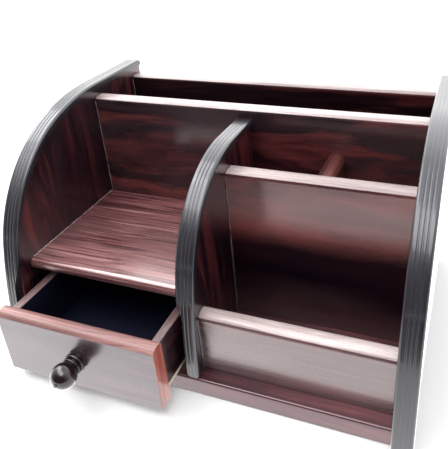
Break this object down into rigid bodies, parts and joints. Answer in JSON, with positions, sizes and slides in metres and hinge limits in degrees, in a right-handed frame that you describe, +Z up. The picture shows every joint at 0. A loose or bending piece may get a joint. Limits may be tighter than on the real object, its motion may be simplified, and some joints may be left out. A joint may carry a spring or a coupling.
{
  "type": "desk organizer with drawer",
  "caption": "Wooden desk organizer with curved side panels, letter slot, pen compartments, phone pocket, shelf and a sliding drawer with a turned knob.",
  "frame": {"origin": "middle of the underside, on the surface that it stands on", "axes": "+X to the right seen from the front, +Y to the back, +Z up; the drawer opens towards -Y"},
  "size_m": [0.261, 0.2206, 0.153],
  "materials": {
    "panel_wood": "dark red-brown lacquered veneer, upright grain",
    "board_wood": "dark red-brown lacquered veneer, level grain",
    "fluted_trim": "glossy near-black fluted edge trim",
    "drawer_face_wood": "dark red-brown high gloss lacquer",
    "drawer_box_wood": "dark stained satin wood",
    "drawer_floor_board": "thin dark-faced fibreboard with pale raw edges",
    "knob_wood": "turned wood, high gloss lacquer",
    "dowel_wood": "plain beech",
    "screw_steel": "zinc-plated"
  },
  "bodies": {
    "case": {"left_side_panel": "panel_wood", "right_side_panel": "panel_wood", "middle_panel": "panel_wood", "left_edge_trim": "fluted_trim", "right_edge_trim": "fluted_trim", "middle_edge_trim": "fluted_trim", "base_board": "board_wood", "back_panel": "board_wood", "tall_divider": "board_wood", "pen_panel": "board_wood", "pen_divider": "board_wood", "pocket_front_board": "board_wood", "shelf": "board_wood", "joint_dowels": "dowel_wood", "shelf_pins": "dowel_wood", "base_screws": "screw_steel"},
    "drawer": {"drawer_front": "drawer_face_wood", "drawer_left_side": "drawer_box_wood", "drawer_right_side": "drawer_box_wood", "drawer_back": "drawer_box_wood", "drawer_bottom": "drawer_floor_board", "drawer_knob": "knob_wood", "knob_screw": "screw_steel", "drawer_pins": "dowel_wood", "bottom_brads": "screw_steel"}
  },
  "joints": [
    {"name": "drawer_slide", "type": "slide", "parent": "case", "child": "drawer", "axis": [0, -1, 0], "range_m": [-0.0125, 0.075]}
  ]
}
